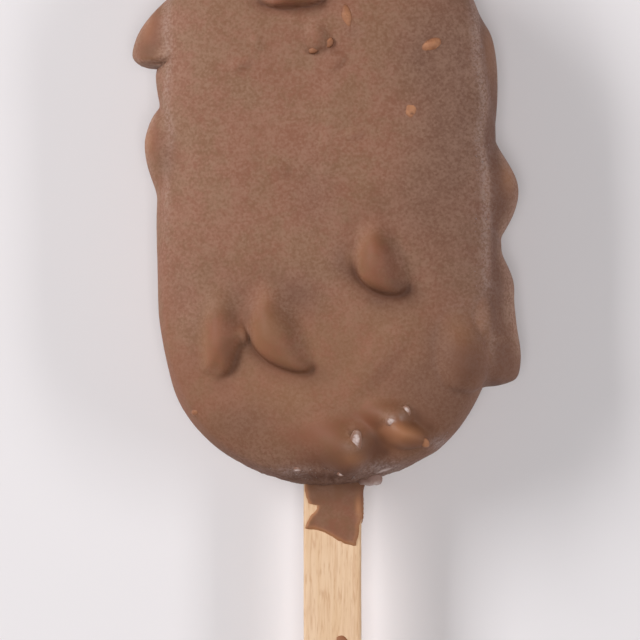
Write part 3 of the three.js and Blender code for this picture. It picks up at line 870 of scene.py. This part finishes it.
wood = {
    "edgePower": 14.0,  # how square the stick's edges are
    "rings": 420,
    "around": 96,
    "wear": 0.06,  # its edges waver inwards by up to this much
    "wearSize": 2.4,
    "wearPower": 6,  # how near to the edges that stays
    "pale": (0.82, 0.58, 0.385, 1),
    "warm": (0.75, 0.50, 0.30, 1),
    "fleck": (0.57, 0.31, 0.165, 1),
    # noises: stretch along the stick, scale, detail and roughness
    "bands": (0.08, 330.0, 3.0, 0.6),
    "fibres": (0.05, 3200.0, 2.0, 0.6),
    "flecks": (0.14, 2400.0, 2.0, 0.5),
    "banded": (0.36, 0.64),
    "flecked": (0.50, 0.74),
    "fibreTint": (0.40, 0.75, 0.0, 0.45),
    "fleckTint": 0.6,
    "fleckDepth": 0.5,
    "rough": (0.3, 0.7, 0.6, 0.75),
    "relief": (0.6, 0.00004),
}
stickMiddle = stick["inside"] - bar["halfLength"] - stick["length"] / 2
stickLoop = (wood["edgePower"], stick["width"] / 2, stick["thickness"] / 2)


def makeWood():
    material, tree, shader = newMaterial("beech")
    where = node(tree, "TexCoord").outputs["Object"]

    def grain(kind):
        stretch, *form = wood[kind]
        along = node(tree, "Mapping", {"Vector": where, "Scale": (1, stretch, 1)}).outputs[0]
        return noiseAt(tree, along, *form)

    fibres = grain("fibres")
    flecks = remap(tree, grain("flecks"), *wood["flecked"])
    color = mixColor(tree, remap(tree, grain("bands"), *wood["banded"]), wood["pale"], wood["warm"])
    color = mixColor(tree, remap(tree, fibres, *wood["fibreTint"]), color, wood["fleck"])
    color = mixColor(tree, calc(tree, "MULTIPLY", flecks, wood["fleckTint"]), color, wood["fleck"])
    height = calc(tree, "SUBTRACT", fibres, calc(tree, "MULTIPLY", flecks, wood["fleckDepth"]))
    setInputs(tree, shader, {
        "Base Color": color,
        "Roughness": remap(tree, fibres, *wood["rough"]),
        "Normal": bumpOf(tree, height, *wood["relief"]),
    })
    return material


# a flat superellipse carried along Y, whose width closes as a half circle at either end
def makeStick():
    turn = np.linspace(0, np.pi / 2, drawn["stickEnd"])
    radius = stick["width"] / 2
    out = stick["length"] / 2 - radius + radius * np.cos(turn)
    up = radius * np.sin(turn)
    ys, halves = np.concatenate([-out, out[::-1]]), np.concatenate([up, up[::-1]])
    ys, halves = [values[1:-1] for values in evenPoints(ys, halves, wood["rings"] + 2)]
    sx, sz = loopShares(*stickLoop, wood["around"])
    x, y, z = np.broadcast_arrays(halves[:, None] * sx, ys[:, None], sz * stick["thickness"] / 2)
    rings = np.stack([x, y, z], axis=-1)
    worn = 0.5 + 0.5 * roughEdge(rings.reshape(-1, 3), wood["wearSize"]).reshape(x.shape)
    rings[..., 0] -= wood["wear"] * worn * np.sign(sx) * np.abs(sx) ** wood["wearPower"]
    tips = np.array([[0, -stick["length"] / 2, 0], [0, stick["length"] / 2, 0]])
    place = shift + np.array([stick["offset"], stickMiddle, 0])
    return closedMesh("woodStick", [(rings + place, tips + place)])


stickPiece = makeStick()
stickPiece.data.materials.append(makeWood())
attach(stickPiece, "root")
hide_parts("stick")
print("stick", len(stickPiece.data.polygons), "faces")

lumpGrain = 0.45  # size of a lump's unevenness, as a share of the lump


# a lump: rings across its length, each a rounded square, narrower towards its head and uneven
def lump(at, head, up, length, width, height, power=2.4, narrow=0.0, uneven=0.15, rings=10, around=14):
    cross = np.cross(up, head)
    turn = np.linspace(-np.pi / 2, np.pi / 2, rings + 2)[1:-1, None, None]
    rise, side = superCurve(np.linspace(0, 2 * np.pi, around, endpoint=False)[:, None], power, 1, 1)
    girth = np.cos(turn) * (1 - narrow * (1 + np.sin(turn)) / 2)
    local = np.sin(turn) * head * length / 2
    local = local + girth * (rise * up * height / 2 + side * cross * width / 2)
    wobble = roughEdge(local.reshape(-1, 3) + at * 1.7, lumpGrain * (width + height) / 2)
    local = local * (1 + uneven * wobble.reshape(rings, around, 1))
    return at + local, np.stack([at - head * length / 2, at + head * length / 2])


# how high each of a lump's points is on it, from -1 at the bottom to 1 at the top, then its tips
def lumpHeights(power=2.4, narrow=0.0, rings=10, around=14):
    turn = np.linspace(-np.pi / 2, np.pi / 2, rings + 2)[1:-1, None]
    rise = superCurve(np.linspace(0, 2 * np.pi, around, endpoint=False), power, 1, 1)[0]
    return np.append((np.cos(turn) * (1 - narrow * (1 + np.sin(turn)) / 2) * rise).ravel(), [0, 0])


# a lump lying on the coating, sunk by a share of its height
def lumpOnCoat(side, across, along, length, width, height, turn, sunk=0.3, **form):
    at, _, head, _ = anchor(side, across, along, turn)
    normal = outward(at[None])[0]
    middle = coat(at[None])[0][0] - normal * height * sunk
    head = head - normal * (head @ normal)
    return lump(middle, head / np.linalg.norm(head), normal, length, width, height, **form)


# chocolate that ran down the stick
run = {
    "from": -59.8,
    "to": -44.0,
    "rings": 260,
    "around": 300,
    "skin": 0.34,  # its thickness
    "tuck": 0.06,  # outside its outline it lies this far under the wood
    "edge": 0.22,  # how quickly it thickens from its edge
    "bead": 0.08,  # its edge is thicker by this much, then how far in and how wide
    "beadPlace": (0.45, 0.3),
    "root": 0.5,  # and it is thicker still where it leaves the bar
    "rootOver": (-49.2, -46.8),
    "rootEdge": (0, 0.3),
    "ripple": 0.04,
    "rippleSize": 2.0,
    "rippleFrom": (0.3, 1.0),  # inside its edge
    "ragged": 0.16,  # its edge wavers by this much
    "grain": 1.3,  # over this size, and with this share of a finer size
    "finer": 0.5,
    "fine": 0.5,
    "backEnd": -53.6,
    "backWave": (1.1, 0.9, 1.0),  # height, slope and phase of its lower edge there
    "backLeft": -3.4,
    "rightEnd": -51.0,
    "leftEnd": -46.5,
    "sides": (0.45, 0.95),  # from the stick's sides to its faces, in half thicknesses
    "thinEdge": 0.55,  # light comes through an edge this wide
    "thinPlace": (4.3, -51.8, 0.5, 1.8),  # and through this patch, by this much
    "thinMuch": 0.8,
    "mottle": 1.1,  # size of its mottling
    "shade": (0.5, 0.12),  # towards the bar, and from the mottling
    "shadeOver": (-53.5, -48.0),
    "frost": (0.04, 0.05),  # all over, and from the mottling
    "drip": ((1.6, -73.9), 2.3, 2.0, 0.8),  # a drop lower down: place, length, width, height
    "dripThin": 0.5,
}
# its outline on the stick's face, from the stick's middle: the lower edge's y at each x, then how
# far it reaches to the left and to the right at each y
runFoot = [(-4.5, -55.2), (-2.6, -55.5), (-1.2, -56.0), (0.6, -57.0), (1.9, -57.6), (3.5, -58.1)]
runLeft = [
    (-55.2, -4.5), (-54.3, -4.2), (-53.0, -3.4), (-52.0, -2.7), (-51.4, -2.6), (-51.1, -4.0), (-50.0, -4.5),
]
runRight = [(-58.4, 3.9), (-57.4, 4.2), (-54.6, 4.5), (-53.4, 5.2), (-50.9, 6.0)]


# how far inside the run's outline each place on the stick is
def runDepth(x, y, level):
    face = np.minimum(y - np.interp(x, *zip(*runFoot)), x - np.interp(y, *zip(*runLeft)))
    face = np.minimum(face, np.interp(y, *zip(*runRight)) - x)
    wave, slope, phase = run["backWave"]
    back = np.minimum(y - run["backEnd"] - wave * np.sin(slope * x + phase), x - run["backLeft"])
    side = y - np.where(x > 0, run["rightEnd"], run["leftEnd"])
    toFace, toBack = smooth(*run["sides"], level), smooth(*run["sides"], -level)
    return toFace * face + toBack * back + (1 - toFace - toBack) * side


# the stick's own section, lifted off the wood inside the run's outline and sunk in it outside
def makeRun():
    ys = np.linspace(run["from"], run["to"], run["rings"])
    power, halfWidth, halfThickness = stickLoop
    sx, sz = loopShares(*stickLoop, run["around"])
    x, y, z = np.broadcast_arrays(halfWidth * sx, ys[:, None], halfThickness * sz)
    flat = np.stack([x, y, z], axis=-1)
    normals = np.stack([
        np.sign(sx) * np.abs(sx) ** (power - 1) / halfWidth,
        np.zeros_like(sx),
        np.sign(sz) * np.abs(sz) ** (power - 1) / halfThickness,
    ], axis=1)
    normals /= np.linalg.norm(normals, axis=1, keepdims=True)

    def uneven(noise, offset, size):
        return noise(flat.reshape(-1, 3) + offset, size).reshape(x.shape)

    rough = uneven(roughEdge, 4.1, run["grain"]) + run["finer"] * uneven(roughEdge, 0, run["fine"])
    depth = runDepth(x, y, np.broadcast_to(sz, x.shape)) + run["ragged"] * rough
    inside = np.maximum(depth, 0)
    lift = (run["skin"] + run["tuck"]) * (1 - np.exp(-inside / run["edge"])) - run["tuck"]
    lift += run["bead"] * bell(depth, *run["beadPlace"])
    lift += run["root"] * smooth(*run["rootOver"], y) * smooth(*run["rootEdge"], depth)
    lift += run["ripple"] * uneven(lumpy, 0, run["rippleSize"]) * smooth(*run["rippleFrom"], depth)
    place = shift + np.array([stick["offset"], 0, 0])
    rings = flat + lift[..., None] * normals + place
    tips = np.array([[0, run["from"], 0], [0, run["to"], 0]]) + place
    thin = bell(inside, 0, run["thinEdge"]) + run["thinMuch"] * patch(x, y, *run["thinPlace"])
    mottle = uneven(lumpy, 2.3, run["mottle"])
    looks = {
        "thin": thin,
        "shade": run["shade"][0] * smooth(*run["shadeOver"], y) + run["shade"][1] * mottle,
        "frost": run["frost"][0] + run["frost"][1] * mottle,
    }
    (across, along), *size = run["drip"]
    drip = lump(place + (across, along, halfThickness), np.array([0.0, 1, 0]), np.array([0.0, 0, 1]), *size)
    others = 4 + drip[0].size // 3  # the tips of both, and the drop
    return closedMesh("chocolateRun", [(rings, tips), drip], {
        key: np.append(np.clip(values, 0, 1), np.full(others, run["dripThin"] if key == "thin" else 0.0))
        for key, values in looks.items()
    })


runPiece = makeRun()
runPiece.data.materials.append(milkChocolate)
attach(runPiece, "root")
print("chocolate run", len(runPiece.data.polygons), "faces")

# bare almond that breaks through: side, place, length, width, height and heading
almondBits = [
    ("front", 4.5, 28.3, 4.2, 2.1, 1.5, -80),
    ("front", 18.1, 23.5, 4.4, 2.3, 1.8, 24),
    ("front", 14.2, 12.9, 2.8, 2.2, 0.6, 80),
    ("front", 1.4, 23.9, 2.0, 1.5, 1.0, 60),
    ("front", -1.2, 22.8, 1.8, 1.3, 0.9, 20),
    ("front", -21.4, -36.2, 2.0, 1.4, 1.2, 30),
    ("front", 15.4, -40.4, 2.2, 1.6, 1.8, -60),
    ("back", -6.0, 31.0, 3.2, 1.8, 1.3, 40),
    ("back", 8.0, -12.0, 2.8, 1.7, 1.2, -30),
    ("back", -9.0, -8.5, 2.4, 1.6, 1.1, 75),
    ("back", 4.5, -37.0, 3.0, 1.8, 1.2, 10),
]
almondLook = {
    "pale": (0.44, 0.195, 0.096, 1),
    "tan": (0.29, 0.115, 0.055, 1),
    "skin": (0.16, 0.060, 0.029, 1),
    "tones": (420.0, 3.0, 0.6),  # noises, each with the range of it that is used
    "toned": (0.35, 0.65),
    "spots": (900.0, 2.0, 0.6),
    "spotted": (0.55, 0.72, 0.0, 0.7),
    "grain": 1600.0,
    "foot": (0.35, 0.8),  # the skin shows below this height
    "roughness": 0.6,
    "specular": 0.35,
    "relief": (0.8, 0.00006),
}
almondForm = {"power": 2.0, "rings": 14, "around": 18}
almondUneven = 0.16


# three tones in soft spots, from pale to the colour of its skin, which shows at its foot
def makeAlmonds():
    look = almondLook
    material, tree, shader = newMaterial("almond")
    where = node(tree, "TexCoord").outputs["Object"]
    tones = remap(tree, noiseAt(tree, where, *look["tones"]), *look["toned"])
    color = mixColor(tree, tones, look["pale"], look["tan"])
    color = mixColor(tree, remap(tree, attribute(tree, "height"), *look["foot"]), look["skin"], color)
    spots = remap(tree, noiseAt(tree, where, *look["spots"]), *look["spotted"])
    setInputs(tree, shader, {
        "Base Color": mixColor(tree, spots, color, look["skin"]),
        "Roughness": look["roughness"],
        "Specular IOR Level": look["specular"],
        "Normal": bumpOf(tree, noiseAt(tree, where, look["grain"]), *look["relief"]),
    })
    stacks = [lumpOnCoat(*bit, uneven=almondUneven, **almondForm) for bit in almondBits]
    piece = closedMesh("almondBits", stacks, {"height": np.tile(lumpHeights(**almondForm), len(stacks))})
    piece.data.materials.append(material)
    return piece


almondPiece = makeAlmonds()
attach(almondPiece, "root")
print("almond bits", len(almondPiece.data.polygons), "faces")

# ice: bright drops and crystals, three of them painted highlights standing for glints on wet chocolate, the
# clear flakes by the stick, and loose crumbs of frost
iceDropsAndGlints = [
    ("front", 4.75, -40.5, 4.6, 2.3, 0.55, -93),
    ("front", 10.4, -37.3, 2.2, 2.0, 0.55, 0),
    ("front", 13.1, -35.9, 1.9, 1.5, 0.4, -70),
    ("front", -4.5, -45.4, 1.9, 1.5, 0.6, 10),
    ("front", 2.5, -45.2, 1.6, 1.2, 0.4, 0),
]
iceFlakes = [
    ("front", 7.1, -46.9, 3.6, 1.6, 2.8, 15),
    ("front", 9.4, -45.8, 3.2, 1.0, 0.35, 42),
]
crumbs = {
    "seed": 11,
    "small": 0.16,
    "large": 0.46,
    "rare": 3,  # the higher, the fewer are large
    "flat": (0.8, 0.7),  # width and height, as shares of the length
    "inside": 0.985,  # they keep within this share of the bar's half width
    "uneven": 0.3,
    "beds": [  # how many, then the middle and spread in x and y
        (90, 0.0, 13.0, -45.8, 1.0),
        (50, 20.5, 2.0, -40.0, 2.2),
        (60, 25.4, 1.2, 4.0, 20.0),
    ],
}
crumbForm = {"rings": 3, "around": 6}
dropForm = {"power": 2.0, "narrow": 0.35, "rings": 12, "around": 20}
ice = {"grain": (1800.0, 2.0, 0.6), "uneven": 0.4, "relief": (0.3, 0.00004)}


# ice that is bright on top and darker towards its foot, where the chocolate shows through; on the drops the
# bright top is a painted highlight
def makeIce(name, look):
    material, tree, shader = newMaterial(name)
    grain = noiseAt(tree, node(tree, "TexCoord").outputs["Object"], *ice["grain"])
    uneven = calc(tree, "MULTIPLY", calc(tree, "SUBTRACT", grain, 0.5), ice["uneven"])
    top = remap(tree, calc(tree, "ADD", attribute(tree, "height"), uneven), *look["core"])
    setInputs(tree, shader, {
        "Base Color": mixColor(tree, top, look["foot"], look["color"]),
        "Roughness": look["roughness"],
        "Normal": bumpOf(tree, grain, *ice["relief"]),
    })
    return material


# crumbs of frost lie at random in their beds
def crumbStacks():
    rng = np.random.default_rng(crumbs["seed"])
    made = []
    for count, x, spreadX, y, spreadY in crumbs["beds"]:
        for _ in range(count):
            across = x + spreadX * rng.uniform(-1, 1)
            along = y + spreadY * rng.uniform(-1, 1)
            size = crumbs["small"] + (crumbs["large"] - crumbs["small"]) * rng.uniform() ** crumbs["rare"]
            width, height = crumbs["flat"]
            form = (size, size * width, size * height, rng.uniform(0, 360))
            if abs(across) < crumbs["inside"] * halfWidthAt(along):
                bit = lumpOnCoat("front", across, along, *form, uneven=crumbs["uneven"], **crumbForm)
                made.append(bit)
    return made


# core: from the foot's colour to the top's, over this range of height
icePieces = {
    # ice drops and crystals, most with pale tops that are painted highlights
    "iceDropsAndGlints": {
        "stacks": [lumpOnCoat(*bit, uneven=0.05, **dropForm) for bit in iceDropsAndGlints],
        "form": dropForm,
        "color": (0.72, 0.58, 0.55, 1),
        "foot": (0.27, 0.135, 0.09, 1),
        "core": (0.60, 0.93),
        "roughness": 0.35,
    },
    "iceFlakes": {
        "stacks": [lumpOnCoat(*bit, sunk=0.05, uneven=0.4) for bit in iceFlakes],
        "form": {},
        "color": (0.54, 0.41, 0.38, 1),
        "foot": (0.24, 0.13, 0.10, 1),
        "core": (0.30, 1.0),
        "roughness": 0.5,
    },
    "frostCrumbs": {
        "stacks": crumbStacks(),
        "form": crumbForm,
        "color": (0.33, 0.25, 0.23, 1),
        "foot": (0.18, 0.11, 0.09, 1),
        "core": (0.40, 1.05),
        "roughness": 0.6,
    },
}
for name, look in icePieces.items():
    heights = np.tile(lumpHeights(**look["form"]), len(look["stacks"]))
    piece = closedMesh(name, look["stacks"], {"height": heights})
    piece.data.materials.append(makeIce(name, look))
    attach(piece, "root")
    print(name, len(piece.data.polygons), "faces")

table = {"size": 3.0, "color": (0.82, 0.785, 0.80, 1), "roughness": 0.9}
bpy.ops.mesh.primitive_plane_add(size=table["size"])
floor = bpy.context.object
floor.name = "table"
paper, paperTree, paperShader = newMaterial("palePaper")
setInputs(paperTree, paperShader, {"Base Color": table["color"], "Roughness": table["roughness"]})
floor.data.materials.append(paper)

# direction and distance of each lamp, in metres, its size in metres and its power in watts
lamps = {
    "window": {"from": (-0.756, 0.345, 0.557), "far": 1.2, "size": (0.34, 0.82), "power": 10.94},
    "fill": {"from": (0.811, 0.0, 0.585), "far": 1.5, "size": (0.27, 0.95), "power": 6.92},
    "above": {"from": (0.05, -0.15, 0.987), "far": 1.6, "size": (0.56, 0.56), "power": 8.46},
}


# the turn that points an object's own +Z along a direction, with its +Y near the scene's +Y
def facing(direction):
    z = Vector(direction).normalized()
    x = Vector((0, 1, 0)).cross(z).normalized()
    return Matrix((x, z.cross(x), z)).transposed().to_4x4()


for name, lamp in lamps.items():
    light = bpy.data.lights.new(name, "AREA")
    light.shape = "RECTANGLE"
    light.size, light.size_y = lamp["size"]
    light.energy = lamp["power"]
    holder = bpy.data.objects.new(name, light)
    toLamp = Vector(lamp["from"]).normalized()
    holder.matrix_world = Matrix.Translation(toLamp * lamp["far"]) @ facing(toLamp)
    bpy.context.scene.collection.objects.link(holder)

# the room's light is brighter towards the window
room = {"strength": 0.12, "slant": 0.2, "color": (1, 0.985, 0.99, 1)}
world = bpy.data.worlds.new("room")
world.use_nodes = True
sky = world.node_tree.nodes["Background"]
roomTree = world.node_tree
direction = node(roomTree, "SeparateXYZ", {0: node(roomTree, "TexCoord").outputs["Generated"]})
slanted = calc(roomTree, "MULTIPLY", direction.outputs["X"], -room["slant"] * room["strength"])
setInputs(roomTree, sky, {
    "Color": room["color"],
    "Strength": calc(roomTree, "ADD", slanted, room["strength"]),
})
bpy.context.scene.world = world
bpy.context.scene.view_settings.view_transform = "Standard"

view = {
    "pixels": 640,
    "pixelsPerMm": 6.05,
    "bodyMiddle": (328.0, 194.0),  # where the body's middle lies in the frame
    "distance": 560.0,
    "tiltRight": 3.5,  # degrees that the camera is moved round the bar to its right
    "tiltDown": 2.5,  # and towards the stick
    "sensor": 36.0,
    "clip": (0.01, 10),
}


def makeCamera():
    half = view["pixels"] / 2
    offCentre = (half - view["bodyMiddle"][0], view["bodyMiddle"][1] - half, 0)
    aim = Vector(shift) + Vector(offCentre) / view["pixelsPerMm"]
    right, down = math.radians(view["tiltRight"]), math.radians(view["tiltDown"])
    back = Vector((math.sin(right), -math.sin(down), math.cos(right) * math.cos(down))).normalized()
    lens = bpy.data.cameras.new("camera")
    camera = bpy.data.objects.new("camera", lens)
    camera.matrix_world = Matrix.Translation((aim + back * view["distance"]) * mm) @ facing(back)
    lens.sensor_width = view["sensor"]
    lens.lens = view["sensor"] * view["pixelsPerMm"] * view["distance"] / view["pixels"]
    lens.clip_start, lens.clip_end = view["clip"]
    bpy.context.scene.collection.objects.link(camera)
    bpy.context.scene.camera = camera


makeCamera()
print("table, lights and camera")
